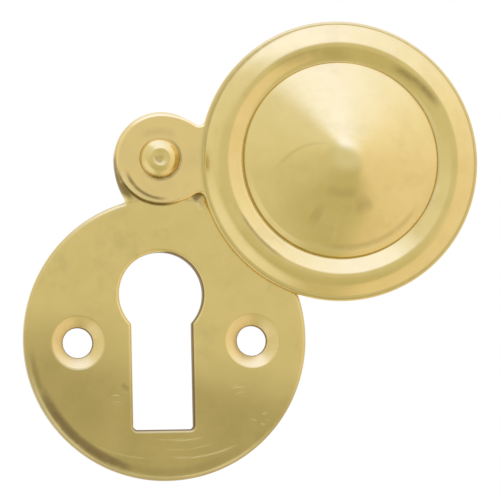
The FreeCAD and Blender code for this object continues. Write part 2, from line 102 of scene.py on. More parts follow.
def profile_round_path():
    tree = bpy.data.node_groups.new("profile_round_path", "GeometryNodeTree")
    for name, kind in (
        ("Path", "NodeSocketObject"),
        ("Profile", "NodeSocketObject"),
        ("Weld Distance", "NodeSocketFloat"),
        ("Metal", "NodeSocketMaterial"),
    ):
        tree.interface.new_socket(name, in_out="INPUT", socket_type=kind)
    tree.interface.new_socket("Surface", in_out="OUTPUT", socket_type="NodeSocketGeometry")
    given = tree.nodes.new("NodeGroupInput")

    path = node(tree, "GeometryNodeObjectInfo", {"Object": given.outputs["Path"]})
    profile = node(tree, "GeometryNodeObjectInfo", {"Object": given.outputs["Profile"]})
    path_size = node(tree, "GeometryNodeAttributeDomainSize", {"Geometry": path.outputs["Geometry"]})
    profile_size = node(tree, "GeometryNodeAttributeDomainSize", {"Geometry": profile.outputs["Geometry"]})
    path_count = path_size.outputs["Point Count"]
    profile_count = profile_size.outputs["Point Count"]
    rows = node(tree, "ShaderNodeMath", {0: path_count, 1: 1.0}, operation="ADD")
    grid = node(
        tree, "GeometryNodeMeshGrid", {"Vertices X": rows.outputs[0], "Vertices Y": profile_count}
    )

    index = tree.nodes.new("GeometryNodeInputIndex").outputs["Index"]
    share = node(tree, "ShaderNodeMath", {0: index, 1: profile_count}, operation="DIVIDE")
    row = node(tree, "ShaderNodeMath", {0: share.outputs[0]}, operation="FLOOR")
    path_index = node(tree, "ShaderNodeMath", {0: row.outputs[0], 1: path_count}, operation="MODULO")
    profile_index = node(tree, "ShaderNodeMath", {0: index, 1: profile_count}, operation="MODULO")

    position = tree.nodes.new("GeometryNodeInputPosition").outputs["Position"]
    away = node(tree, "GeometryNodeInputNamedAttribute", {"Name": "away"}, data_type="FLOAT_VECTOR")

    def sample(geometry, value, place):
        found = node(
            tree,
            "GeometryNodeSampleIndex",
            {"Geometry": geometry.outputs["Geometry"], "Index": place.outputs[0]},
            data_type="FLOAT_VECTOR",
            domain="POINT",
        )
        tree.links.new(value, found.inputs["Value"])
        return found.outputs["Value"]

    foot = sample(path, position, path_index)
    outwards = sample(path, away.outputs["Attribute"], path_index)
    step = node(tree, "ShaderNodeSeparateXYZ", {0: sample(profile, position, profile_index)})
    across = node(
        tree, "ShaderNodeVectorMath", {0: outwards, "Scale": step.outputs["X"]}, operation="SCALE"
    )
    deep = node(tree, "ShaderNodeCombineXYZ", {"Y": step.outputs["Y"]})
    aside = node(tree, "ShaderNodeVectorMath", {0: foot, 1: across.outputs[0]}, operation="ADD")
    place = node(tree, "ShaderNodeVectorMath", {0: aside.outputs[0], 1: deep.outputs[0]}, operation="ADD")
    moved = node(
        tree,
        "GeometryNodeSetPosition",
        {"Geometry": grid.outputs["Mesh"], "Position": place.outputs[0]},
    )
    welded = node(
        tree,
        "GeometryNodeMergeByDistance",
        {"Geometry": moved.outputs["Geometry"], "Distance": given.outputs["Weld Distance"]},
    )
    whole = node(tree, "GeometryNodeRealizeInstances", {"Geometry": welded.outputs["Geometry"]})
    dressed = node(
        tree,
        "GeometryNodeSetMaterial",
        {"Geometry": whole.outputs["Geometry"], "Material": given.outputs["Metal"]},
    )
    node(tree, "NodeGroupOutput", {"Surface": dressed.outputs["Geometry"]})
    return tree


rim_tree = profile_round_path()
rim_inputs = {
    item.name: item.identifier for item in rim_tree.interface.items_tree if item.in_out == "INPUT"
}
print("tree", rim_tree.name, "with", len(rim_tree.nodes), "nodes, inputs", list(rim_inputs))

# %% [markdown]
# ## Paths
#
# A path is a closed run of points, each with the direction that leads away from the metal. Circles and
# rounded corners are arcs, and the straight sides of the keyhole need no points of their own: the next
# arc's first point is enough. A curve object could be bent into the same shape, but sums keep every arc
# exactly round and its joints exactly smooth.

# %% Arcs and circles
FINE_STEP = math.radians(1.5)
CORNER_STEP = math.radians(7.5)
SMALL_ARC = 3 * MM
SAME_SPOT = 1e-7


def arc(centre, radius, first, last, hollow=False):
    """Points on an arc from one angle to another, in degrees. Hollow means that the metal lies outside."""
    first, last = math.radians(first), math.radians(last)
    step = FINE_STEP if radius > SMALL_ARC else CORNER_STEP
    count = max(2, math.ceil(abs(last - first) / step))
    run = []
    for k in range(count + 1):
        angle = first + (last - first) * k / count
        way = Vector((math.cos(angle), 0, math.sin(angle)))
        run.append((centre + way * radius, -way if hollow else way))
    return run


def axis(centre, steps):
    """A circle with no radius, in even steps: an axis to turn a profile about."""
    angles = [2 * math.pi * k / steps for k in range(steps)]
    return [(centre, Vector((math.cos(angle), 0, math.sin(angle)))) for angle in angles]


print("a quarter of a 5 mm circle has", len(arc(Vector(), 5 * MM, 0, 90)), "points")


# %% A path from two halves
def both_halves(right_half, middle_x, mirrored=None):
    """A closed path from a right half, which runs from foot to top, and a mirrored one: itself or another."""
    left_half = [
        (Vector((2 * middle_x - spot.x, spot.y, spot.z)), Vector((-away.x, away.y, away.z)))
        for spot, away in reversed(mirrored or right_half)
    ]
    path = []
    for spot, away in right_half + left_half:
        if not path or (spot - path[-1][0]).length > SAME_SPOT:
            path.append((spot, away))
    if (path[0][0] - path[-1][0]).length < SAME_SPOT:
        path.pop()
    return path


print("two half circles make a path of", len(both_halves(arc(Vector(), 5 * MM, -90, 90), 0)), "points")

# %% [markdown]
# ## A disc with an ear
#
# The plate and the cover have the same kind of outline: a disc with a rounded ear that the rivet goes
# through. Where the ear leaves the disc, the press makes a small inner round. Here the ear's sides are arcs
# too, as large as they must be to leave a neck of the wanted width, and each arc ends where the next one
# touches it, so the light runs on without a kink.

# %% The outline of a disc with an ear
def circles_meet(first_centre, first_radius, second_centre, second_radius):
    """Where two circles cross, on the right."""
    line = second_centre - first_centre
    along = (first_radius**2 - second_radius**2 + line.length_squared) / (2 * line.length)
    aside = math.sqrt(first_radius**2 - along**2)
    straight = line.normalized()
    sideways = Vector((straight.z, 0, -straight.x))
    found = [first_centre + straight * along + sideways * aside * sign for sign in (1, -1)]
    return max(found, key=lambda spot: spot.x)


def heading(start, end):
    """The angle in degrees at which one point sees another."""
    return math.degrees(math.atan2(end.z - start.z, end.x - start.x))


def half_eared_disc(disc_radius, ear_radius, neck, ear_height, corner_radius):
    """The right half of a disc at the origin with a rounded ear on top and a rounded inner corner."""
    middle = Vector((0, 0, 0))
    rise = ear_height - math.sqrt(disc_radius**2 - neck**2)
    inset = (neck**2 + rise**2 - ear_radius**2) / (2 * (ear_radius - neck))
    flank_radius = ear_radius + inset
    flank = Vector((-inset, 0, ear_height))
    corner = circles_meet(middle, disc_radius + corner_radius, flank, flank_radius + corner_radius)
    off_disc = heading(middle, corner)
    return (
        arc(middle, disc_radius, -90, off_disc)
        + arc(corner, corner_radius, off_disc + 180, heading(corner, flank), hollow=True)
        + arc(flank, flank_radius, heading(flank, corner), 0)
        + arc(Vector((0, 0, ear_height)), ear_radius, 0, 90)
    )


a_half = half_eared_disc(17 * MM, 6 * MM, 4 * MM, 22 * MM, 0.5 * MM)
print("a half of a disc with an ear has", len(a_half), "points")

# %% [markdown]
# ## Profiles
#
# A profile is a run of points too: how far from the path, and how deep. Corners get a radius, because no
# edge on a real piece is perfectly sharp, and that thin round is what catches the light. A Bevel modifier
# would do it for one width. Here each corner has its own, and at least eight steps, so none looks faceted.

# %% Rounded profiles
ROUND_STEP = math.radians(9)
FEWEST_STEPS = 8
STRAIGHT = 1e-4


def rounded(corners):
    """A line through corners of across, depth and radius, with an arc at each corner that has a radius."""
    spots = [Vector(corner[:2]) for corner in corners]
    line = [spots[0]]
    for before, corner, after, (_, _, radius) in zip(spots, spots[1:], spots[2:], corners[1:]):
        into, out = (corner - before).normalized(), (after - corner).normalized()
        turn = into.angle_signed(out)
        if not radius or abs(turn) < STRAIGHT:
            line.append(corner)
            continue
        start = corner - into * radius * math.tan(abs(turn) / 2)
        side = Vector((into.y, -into.x)) * (1 if turn > 0 else -1)
        centre = start + side * radius
        steps = max(FEWEST_STEPS, math.ceil(abs(turn) / ROUND_STEP))
        for k in range(steps + 1):
            angle = -turn * k / steps
            spoke = start - centre
            turned = Vector(
                (
                    spoke.x * math.cos(angle) - spoke.y * math.sin(angle),
                    spoke.x * math.sin(angle) + spoke.y * math.cos(angle),
                )
            )
            line.append(centre + turned)
    line.append(spots[-1])
    return line


def subdivided(line, longest):
    """The same line with extra points, so that no step is longer than longest."""
    fine = [line[0]]
    for start, end in zip(line, line[1:]):
        count = max(1, math.ceil((end - start).length / longest))
        fine.extend(start.lerp(end, k / count) for k in range(1, count + 1))
    return fine


print("a square corner with a round has", len(rounded([(0, 1, 0), (0, 0, 0.5), (1, 0, 0)])), "points")

# %% [markdown]
# ## Pieces
#
# A piece is a few of those surfaces and the flats between them. The flats need no grid: once the surfaces
# are joined, each flat is what the open rims at one depth enclose, holes and all, so a fill closes it. The
# edges between them are too shallow to be seen as edges, so shading runs smoothly over all but sharp ones.

# %% From paths and profiles to one closed piece
WELD = 1e-7
CREASE = math.radians(28)


def points_object(name, points, away=None):
    """A throwaway object that only carries points, for the tree to read."""
    mesh = bpy.data.meshes.new(name)
    mesh.from_pydata(points, [], [])
    if away:
        attribute = mesh.attributes.new("away", "FLOAT_VECTOR", "POINT")
        attribute.data.foreach_set("vector", [part for way in away for part in way])
    made = bpy.data.objects.new(name, mesh)
    bpy.context.collection.objects.link(made)
    return made


def carried_round(path, profile, metal):
    """The surface that the tree makes, as a plain mesh."""
    path_points = points_object("path", [spot for spot, _ in path], [away for _, away in path])
    profile_points = points_object("profile", [(across, depth, 0) for across, depth in profile])
    carrier = points_object("carrier", [])
    modifier = carrier.modifiers.new("rim", "NODES")
    modifier.node_group = rim_tree
    modifier[rim_inputs["Path"]] = path_points
    modifier[rim_inputs["Profile"]] = profile_points
    modifier[rim_inputs["Weld Distance"]] = WELD
    modifier[rim_inputs["Metal"]] = metal
    graph = bpy.context.evaluated_depsgraph_get()
    surface = bpy.data.meshes.new_from_object(carrier.evaluated_get(graph))
    for scrap in (carrier, path_points, profile_points):
        bpy.data.meshes.remove(scrap.data)
    return surface


def closed_piece(name, surfaces, flats, metal):
    """Joins surfaces, fills the flats at the given depths, and turns every face outwards."""
    shape = bmesh.new()
    for path, profile in surfaces:
        part = carried_round(path, profile, metal)
        shape.from_mesh(part)
        bpy.data.meshes.remove(part)
    bmesh.ops.remove_doubles(shape, verts=shape.verts, dist=WELD)
    for depth in flats:
        rim = [
            edge
            for edge in shape.edges
            if edge.is_boundary and all(abs(end.co.y - depth) < WELD for end in edge.verts)
        ]
        bmesh.ops.triangle_fill(shape, use_beauty=True, edges=rim, normal=(0, 1, 0))
    bmesh.ops.recalc_face_normals(shape, faces=shape.faces)
    open_edges = sum(not edge.is_manifold for edge in shape.edges)
    mesh = bpy.data.meshes.new(name)
    shape.to_mesh(mesh)
    shape.free()
    mesh.materials.clear()
    mesh.materials.append(metal)
    mesh.shade_smooth()
    mesh.set_sharp_from_angle(angle=CREASE)
    made = bpy.data.objects.new(name, mesh)
    bpy.context.collection.objects.link(made)
    mesh.calc_loop_triangles()
    print(name, len(mesh.loop_triangles), "triangles,", open_edges, "open edges")
    return made


print("shading is smooth over edges of less than", round(math.degrees(CREASE)), "degrees")

# %% Metals, filled in further down
plate_metal, cover_metal, rivet_metal = (
    bpy.data.materials.new(name) for name in ("plate_metal", "cover_metal", "rivet_metal")
)
print("metals", plate_metal.name, cover_metal.name, rivet_metal.name)

# %% [markdown]
# ## The back plate
#
# The plate is stamped from sheet. The press and years of polishing have drawn its front edge down a little
# all round the disc and the ear, so a wide, very shallow fall comes before the small round that turns into
# the side. That is why the photo shows a thin bright line there and not a broad band. The keyhole's edge
# has the same small round and no fall.

# %% Sizes of the plate
PLATE_EDGE_RADIUS = 0.5 * MM
PLATE_FALL_WIDTH = 1.5 * MM
PLATE_FALL = 0.08 * MM
PLATE_FALL_RADIUS = 6 * MM
PLATE_EAR_RADIUS = 5.9 * MM
PLATE_NECK = 4.37 * MM
PLATE_NECK_RIGHT = 5.6 * MM
PLATE_CORNER_RADIUS = 0.45 * MM
KEYHOLE_OFFSET = 0.42 * MM
KEYHOLE_RADIUS = 5.2 * MM
KEYHOLE_HEIGHT = 5.5 * MM
SLOT_HALF_WIDTH = 3.75 * MM
SLOT_DEPTH = 11.2 * MM
SLOT_CORNER_RADIUS = 0.5 * MM
KEYHOLE_EDGE_RADIUS = 0.5 * MM
SUPPORT = 0.05 * MM
front = -plate_thickness
print("keyhole", 2 * KEYHOLE_RADIUS / MM, "mm across over a slot of", 2 * SLOT_HALF_WIDTH / MM, "mm")


# %% The keyhole's path
def keyhole_path():
    """Round hole over a straight slot. Its metal lies outside."""
    middle = plate_centre + Vector((-KEYHOLE_OFFSET, 0, 0))
    top = middle + Vector((0, 0, KEYHOLE_HEIGHT))
    foot_corner = middle + Vector(
        (SLOT_HALF_WIDTH - SLOT_CORNER_RADIUS, 0, SLOT_CORNER_RADIUS - SLOT_DEPTH)
    )
    reach = KEYHOLE_RADIUS + SLOT_CORNER_RADIUS
    aside = SLOT_HALF_WIDTH + SLOT_CORNER_RADIUS
    neck = top + Vector((aside, 0, -math.sqrt(reach**2 - aside**2)))
    to_top = heading(neck, top)
    foot = (Vector((middle.x, 0, middle.z - SLOT_DEPTH)), Vector((0, 0, 1)))
    return both_halves(
        [foot]
        + arc(foot_corner, SLOT_CORNER_RADIUS, -90, 0, hollow=True)
        + arc(neck, SLOT_CORNER_RADIUS, 180, to_top)
        + arc(top, KEYHOLE_RADIUS, to_top - 180, 90, hollow=True),
        middle.x,
    )


print("keyhole points", len(keyhole_path()))

# %% The plate's outline and its two edges
right_half, left_half = (
    half_eared_disc(plate_radius, PLATE_EAR_RADIUS, neck, arm, PLATE_CORNER_RADIUS)
    for neck in (PLATE_NECK_RIGHT, PLATE_NECK)
)
plate_path = [
    (spot + plate_centre, away) for spot, away in both_halves(right_half, 0, left_half)
]
plate_edge = rounded(
    [
        (0, 0, 0),
        (0, front + PLATE_FALL, PLATE_EDGE_RADIUS),
        (-PLATE_FALL_WIDTH / 2, front, PLATE_FALL_RADIUS),
        (-PLATE_FALL_WIDTH, front, 0),
    ]
)
keyhole_edge = rounded(
    [
        (0, 0, 0),
        (0, front, KEYHOLE_EDGE_RADIUS),
        (-KEYHOLE_EDGE_RADIUS - SUPPORT, front, 0),
    ]
)
print("outline points", len(plate_path), "edge points", len(plate_edge))

# %% [markdown]
# ## Screw holes and the rivet's seat
#
# Each screw hole has a short straight bore, a slightly wider throat that the drill left, and a cone with a
# rounded edge for the screw's head. Behind the ear, a wider seat takes the rivet's tail. All of them are
# round, so each is a profile turned about an axis, which keeps their rims even, and no boolean is needed:
# the flats of the front and the back are filled up to those rims.

# %% Screw holes and rivet seat, turned about their axes
SCREW_SPACING = 21.6 * MM
BORE_RADIUS = 1.85 * MM
BORE_LENGTH = 0.68 * MM
THROAT_RADIUS = 1.97 * MM
THROAT_LENGTH = 0.15 * MM
CONE_RADIUS = 3.35 * MM
CONE_EDGE_RADIUS = 0.5 * MM
SHANK_RADIUS = 1.5 * MM
TAIL_RADIUS = 2.2 * MM
TAIL_DEPTH = 0.7 * MM
HOLE_STEPS = 144

screw_profile = rounded(
    [
        (BORE_RADIUS, 0, 0),
        (BORE_RADIUS, -BORE_LENGTH, 0),
        (THROAT_RADIUS, -BORE_LENGTH - THROAT_LENGTH, 0),
        (CONE_RADIUS, front, CONE_EDGE_RADIUS),
        (CONE_RADIUS + CONE_EDGE_RADIUS + SUPPORT, front, 0),
    ]
)
seat_profile = [(TAIL_RADIUS, 0), (SHANK_RADIUS, -TAIL_DEPTH), (SHANK_RADIUS, front)]
screw_paths = [axis(Vector((side * SCREW_SPACING / 2, 0, 0)), HOLE_STEPS) for side in (-1, 1)]
print("a screw hole's profile has", len(screw_profile), "points")

# %% The back plate in one piece
back_plate = closed_piece(
    "back_plate_brass",
    [
        (plate_path, plate_edge),
        (keyhole_path(), keyhole_edge),
        *[(path, screw_profile) for path in screw_paths],
        (axis(pivot_line, HOLE_STEPS), seat_profile),
    ],
    [0, front],
    plate_metal,
)

# %% [markdown]
# ## The swing cover
#
# The cover is pressed from thinner sheet. From its rim inwards come a narrow flat, a raised ring with a
# plump outer side, a groove, a short steep wall and a dome that runs like a cone up to a rounded tip. Its
# ear lies at the rim's own level. Behind, it is hollow, one sheet thick. A Solidify modifier would give it
# that wall, but it would also thicken the flat rim that has to lie on the plate. It is drawn shut, round
# its own middle, and every path is then turned about the rivet to where it stands.

# %% Where the cover stands
COVER_OPEN = math.radians(89)
COVER_THICKNESS = 0.8 * MM
COVER_RADIUS = 17.49 * MM
COVER_HANG = 0.35 * MM
cover_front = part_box("swing_cover")[0].y
cover_arm = arm + COVER_HANG
cover_centre = pivot_line + Vector((math.sin(COVER_OPEN), 0, -math.cos(COVER_OPEN))) * cover_arm


def swung(path):
    """A path drawn round the shut cover's middle, turned to where the cover stands."""
    cosine, sine = math.cos(COVER_OPEN), math.sin(COVER_OPEN)

    def turned(vector):
        return Vector((vector.x * cosine - vector.z * sine, 0, vector.x * sine + vector.z * cosine))

    return [(cover_centre + turned(spot), turned(away)) for spot, away in path]


print("cover's middle", [round(part / MM, 2) for part in cover_centre])

# %% [markdown]
# ## The pressed section
#
# The cover's shape is told by one line from its rim to its middle: a few corners, each with its own round,
# and an arc over the tip. The hollow side is the same line, moved inwards by one sheet, with tighter or
# wider rounds, as bent sheet has. Points lie close together in front, where the polish shows every facet,
# and further apart behind.

# %% Helpers for the section
TIP_RADIUS = 8.0
TIP_STEP = math.radians(1.5)


def lines_meet(start, end, other_start, other_end):
    """Where two lines cross, each given by two of its points."""
    along, way = end - start, other_end - other_start
    return start + along * ((other_start - start).cross(way) / along.cross(way))


def touching(centre, radius, spot):
    """Where the line from a spot touches a circle."""
    line = spot - centre
    angle = math.atan2(line.y, line.x) + math.acos(radius / line.length)
    return centre + Vector((math.cos(angle), math.sin(angle))) * radius


def over_the_tip(centre, start):
    """From where the flank ends, round the tip, to the axis."""
    spoke = start - centre
    first = math.atan2(spoke.y, spoke.x)
    steps = math.ceil((math.pi / 2 - first) / TIP_STEP)
    angles = [first + (math.pi / 2 - first) * k / steps for k in range(1, steps)]
    curve = [centre + Vector((math.cos(a), math.sin(a))) * spoke.length for a in angles]
    return curve + [centre + Vector((0, spoke.length))]


def to_depth(line):
    """From radius and height over the back, in mm, to across and depth, in metres."""
    return [(spot.x * MM, front - spot.y * MM) for spot in line]


print("the tip is round over", TIP_RADIUS, "mm")

# %% The pressed section, outside and hollow side
FRONT_LINE = 0.3
BACK_LINE = 1.2
FLAT_MARGIN = 0.16

sheet = COVER_THICKNESS / MM
tip_centre = Vector((0, (front - cover_front) / MM - TIP_RADIUS))
rim = Vector((COVER_RADIUS / MM, sheet))
rim_foot = Vector((16.92, sheet))
haunch = Vector((15.8, 1.9))
crest = Vector((14.3, 2.3))
throat = Vector((12.75, 1.54))
groove = Vector((12.3, 1.4))
wall_top = Vector((12.16, 1.78))
shoulder = Vector((11.5, 2.22))
bulge = Vector((7.5, 4.35))
flank_end = touching(tip_centre, TIP_RADIUS, bulge)
# Each corner, its round in front and its round behind.
bends = (
    (rim, 0, None),
    (rim_foot, 0.35, 0),
    (haunch, 2.6, 1.6),
    (crest, 1.5, 0.3),
    (throat, 1.6, 0.8),
    (groove, 0.06, 0.3),
    (wall_top, 0.35, 0.3),
    (shoulder, 1.4, 0.3),
    (bulge, 60, 60),
    (flank_end, 0, 0),
)
section = [spot for spot, _, _ in bends]

front_line = rounded([(*spot, in_front) for spot, in_front, _ in bends])
front_line[0] = rim_foot + Vector((FLAT_MARGIN, 0))
outside = to_depth(subdivided(front_line, FRONT_LINE) + over_the_tip(tip_centre, flank_end))

lines = []
for start, end in zip(section, section[1:]):
    way = (end - start).normalized()
    inwards = Vector((-way.y, way.x)) * sheet
    lines.append((start + inwards, end + inwards))
inner = [lines_meet(*one, *other) for one, other in zip(lines, lines[1:])] + [lines[-1][1]]
back_line = rounded([(*spot, behind) for spot, (_, _, behind) in zip(inner, bends[1:])])
hollow = to_depth(subdivided(back_line, BACK_LINE) + over_the_tip(tip_centre, inner[-1]))
print("flank from", [round(v, 2) for v in shoulder], "to", [round(v, 2) for v in flank_end])
print("the hollow opens at a radius of", round(inner[0].x, 2), "mm; points", len(outside), len(hollow))

# %% The cover in its place
COVER_EDGE_RADIUS = 0.38 * MM
COVER_EDGE_MARGIN = 0.02 * MM
COVER_EAR_RADIUS = 5.6 * MM
COVER_NECK = 3.65 * MM
COVER_EAR_OFFSET = 0.3 * MM
COVER_CORNER_RADIUS = 0.8 * MM
RUN_GAP = 0.05 * MM
COVER_STEPS = 300

cover_half = half_eared_disc(
    COVER_RADIUS, COVER_EAR_RADIUS, COVER_NECK, cover_arm - COVER_EAR_OFFSET, COVER_CORNER_RADIUS
)
cover_path = both_halves(cover_half, 0)
cover_face = front - COVER_THICKNESS
cover_edge = rounded(
    [
        (0, front, 0),
        (0, cover_face, COVER_EDGE_RADIUS),
        (-COVER_EDGE_RADIUS - COVER_EDGE_MARGIN, cover_face, 0),
    ]
)
bore = [(SHANK_RADIUS + RUN_GAP, front), (SHANK_RADIUS + RUN_GAP, cover_face)]

swing_cover = closed_piece(
    "swing_cover_brass",
    [
        (swung(cover_path), cover_edge),
        (axis(cover_centre, COVER_STEPS), outside),
        (axis(cover_centre, COVER_STEPS), hollow),
        (axis(pivot_line, HOLE_STEPS), bore),
    ],
    [front, cover_face],
    cover_metal,
)

# %% [markdown]
# ## The rivet
#
# The rivet was closed with a round punch, which left a domed head with a small dimple in the middle. Its
# tail fills the seat behind, flush with the back of the plate. A ball cut by a smaller ball would come
# close, but one profile, turned about the hinge, makes all of it, with a soft crown round the dimple.

# %% The rivet's profile, turned
HEAD_RADIUS = 2.5
HEAD_LINE = 0.1

head_foot = cover_face - RUN_GAP
head = rounded(
    [
        (SHANK_RADIUS / MM, 0, 0),
        (HEAD_RADIUS, 0, 0.05),
        (HEAD_RADIUS, 0.12, 0.15),
        (2.2, 0.56, 0.9),
        (1.75, 0.99, 0.9),
        (1.1, 1.26, 0.6),
        (0.5, 1.12, 0.6),
        (0, 1.12, 0),
    ]
)
rivet_profile = [(0, 0), (TAIL_RADIUS, 0), (SHANK_RADIUS, -TAIL_DEPTH)]
rivet_profile += [(spot.x * MM, head_foot - spot.y * MM) for spot in subdivided(head, HEAD_LINE)]
pivot_rivet = closed_piece(
    "pivot_rivet_brass", [(axis(pivot_line, HOLE_STEPS), rivet_profile)], [], rivet_metal
)

# %% [markdown]
# ## Bodies
#
# The plate and its rivet are one body, and the cover is the other, so the cover swings and the rivet
# stays. Each drawn piece rides on its body and takes the place of its coarser solid, which is hidden.
# Parenting by hand would do the same for one pose, but the frame knows every pose.

# %% Ride on the bodies and stand in for the solids
for piece, body, solid, finish in (
    (back_plate, "plate", "back_plate", "plate_brass"),
    (pivot_rivet, "plate", "pivot_rivet", "rivet_brass"),
    (swing_cover, "cover", "swing_cover", "cover_brass"),
):
    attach(piece, body)
    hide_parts(solid)
    print(piece.name, "rides on", body)

# %% [markdown]
# ## Small tools for the finishes
#
# A finish is a web of nodes, and nearly all of them are a sum, a step of vector maths, or a soft step
# between two values. Each gets a short helper, so that the finishes below read like sums. An effect that
# several metals use becomes a group: it is built once, with named inputs, and each metal places it with
# its own values. The groups give only masks and heights. The metal itself stays in the material.

# %% Helpers for sums, soft steps, noise and groups
ORIGIN = (0, 0, 0)


def group(name, takes, gives):
    """An empty shader group, its given sockets, and its output node's sockets."""
    tree = bpy.data.node_groups.new(name, "ShaderNodeTree")
    for key, start in takes.items():
        kind = "NodeSocketFloat" if isinstance(start, float) else "NodeSocketVector"
        tree.interface.new_socket(key, in_out="INPUT", socket_type=kind).default_value = start
    for key in gives:
        tree.interface.new_socket(key, in_out="OUTPUT", socket_type="NodeSocketFloat")
    return tree, tree.nodes.new("NodeGroupInput").outputs, tree.nodes.new("NodeGroupOutput").inputs


def use(tree, effect, inputs):
    """Places a group in a tree and gives its outputs."""
    return node(tree, "ShaderNodeGroup", inputs, node_tree=effect).outputs


def maths(tree, operation, first, second=0.0, third=0.0):
    return node(tree, "ShaderNodeMath", {0: first, 1: second, 2: third}, operation=operation).outputs[0]


def vectors(tree, operation, first, second=ORIGIN):
    """One step of vector maths. To scale takes one value, and a length or a dot product gives one."""
    slot = "Scale" if operation == "SCALE" else 1
    made = node(tree, "ShaderNodeVectorMath", {0: first, slot: second}, operation=operation)
    return made.outputs["Value" if operation in ("DOT_PRODUCT", "LENGTH") else "Vector"]


def parts_of(tree, vector):
    return node(tree, "ShaderNodeSeparateXYZ", {0: vector}).outputs


def ramp(tree, value, low, high, to_low=0.0, to_high=1.0):
    """A soft step from low to high."""
    made = node(
        tree,
        "ShaderNodeMapRange",
        {"Value": value, "From Min": low, "From Max": high, "To Min": to_low, "To Max": to_high},
        interpolation_type="SMOOTHSTEP",
    )
    return made.outputs["Result"]


def noise(tree, vector, scale, detail=2.0, roughness=0.5):
    made = node(
        tree,
        "ShaderNodeTexNoise",
        {"Vector": vector, "Scale": scale, "Detail": detail, "Roughness": roughness},
    )
    return made.outputs["Fac"]


def mixed(tree, share, under, over):
    """Lays one colour over another, by a share."""
    made = node(tree, "ShaderNodeMix", {"Factor": share, "A": under, "B": over}, data_type="RGBA")
    return made.outputs[2]


print("the finishes are built of sums, vector steps, soft steps, noise and mixes")

# %% [markdown]
# ## Rings of the polishing wheel
#
# The real cover was spun or turned under a polishing wheel, which leaves very fine rings round its middle,
# and broad soft spokes where it pressed harder. A picture of rings would show its pixels from close by.
# Here they are noise that is read along a coil: the way round stays smooth, and the way outwards changes
# fast. The same group measures each point's radius and angle, which every mark below needs.

# %% Rings of the polishing wheel
RING_TURN = 1.6
SPOKE_TURN = 3.4
SPOKE_RISE = 70.0


def wheel_rings():
    """Rings and spokes about an axis that runs in depth, and a point's radius and angle about it."""
    tree, given, out = group(
        "wheel_rings",
        {"Place": ORIGIN, "Axis": ORIGIN, "Ring Width": 0.2 * MM},
        ("Rings", "Spokes", "Radius", "Angle"),
    )
    spoke = vectors(tree, "MULTIPLY", vectors(tree, "SUBTRACT", given["Place"], given["Axis"]), (1, 0, 1))
    radius = vectors(tree, "LENGTH", spoke)
    way = vectors(tree, "NORMALIZE", spoke)

    def along_a_coil(turn, rise):
        lift = node(tree, "ShaderNodeCombineXYZ", {"Y": rise}).outputs[0]
        return vectors(tree, "ADD", vectors(tree, "SCALE", way, turn), lift)

    rings = along_a_coil(RING_TURN, maths(tree, "DIVIDE", radius, given["Ring Width"]))
    spokes = along_a_coil(SPOKE_TURN, maths(tree, "MULTIPLY", radius, SPOKE_RISE))
    parts = parts_of(tree, spoke)
    tree.links.new(noise(tree, rings, 1.0, 3.0, 0.6), out["Rings"])
    tree.links.new(noise(tree, spokes, 1.0, 2.0, 0.5), out["Spokes"])
    tree.links.new(radius, out["Radius"])
    tree.links.new(maths(tree, "DEGREES", maths(tree, "ARCTAN2", parts["Z"], parts["X"])), out["Angle"])
    return tree


rings_group = wheel_rings()
print(rings_group.name, "has", len(rings_group.nodes), "nodes")

# %% [markdown]
# ## Hair lines
#
# Wiping and handling leave long thin scratches that mostly run one way. Modelled scratches would need
# millions of faces. This group squeezes the place instead, millimetres along and hundredths across, before
# it reads noise there, and keeps only the highest tops. A slow sway bends the lines a little.

# %% Hair lines
SWAY_SCALE = 90.0
BEND = 0.25
HAIR_TOP = 0.78
HAIR_SOFTNESS = 0.07


def hair_lines():
    """Long thin scratches that run one way, with a slight bend. One where there is a scratch."""
    tree, given, out = group(
        "hair_lines",
        {"Place": ORIGIN, "Direction": 0.0, "Width": 0.05 * MM, "Length": 4 * MM, "Share": 0.2},
        ("Lines",),
    )
    sway = maths(tree, "MULTIPLY", noise(tree, given["Place"], SWAY_SCALE, 0.0), BEND)
    turned = node(
        tree,
        "ShaderNodeVectorRotate",
        {"Vector": given["Place"], "Angle": maths(tree, "ADD", given["Direction"], sway)},
        rotation_type="Y_AXIS",
    )
    parts = parts_of(tree, turned.outputs[0])
    long = maths(tree, "DIVIDE", parts["X"], given["Length"])
    thin = maths(tree, "DIVIDE", parts["Z"], given["Width"])
    stretched = node(tree, "ShaderNodeCombineXYZ", {"X": long, "Z": thin}).outputs[0]
    edge = maths(tree, "SUBTRACT", HAIR_TOP, maths(tree, "MULTIPLY", given["Share"], 0.3))
    lines = ramp(tree, noise(tree, stretched, 1.0, 1.0), edge, maths(tree, "ADD", edge, HAIR_SOFTNESS))
    tree.links.new(lines, out["Lines"])
    return tree


lines_group = hair_lines()
print(lines_group.name, "has", len(lines_group.nodes), "nodes")

# %% [markdown]
# ## A mark that follows a ring
#
# On a round, pressed piece most tarnish and wear follow its rings: film in the groove, a scratch that the
# swinging cover drew. Painted shade and painted highlights follow them too, along edges and creases, such
# as a bright line beside the ear. So one mark is a soft stretch of a ring, told by its radius, how far it
# reaches to both sides, the angle of its middle, and how far it spreads round. With a lean it climbs
# outwards as it goes round. Texture painting would give more freedom, but these marks stay sharp at any
# size, and a change is one number.

# %% One mark that follows a ring
FULL_SHARE = 0.45


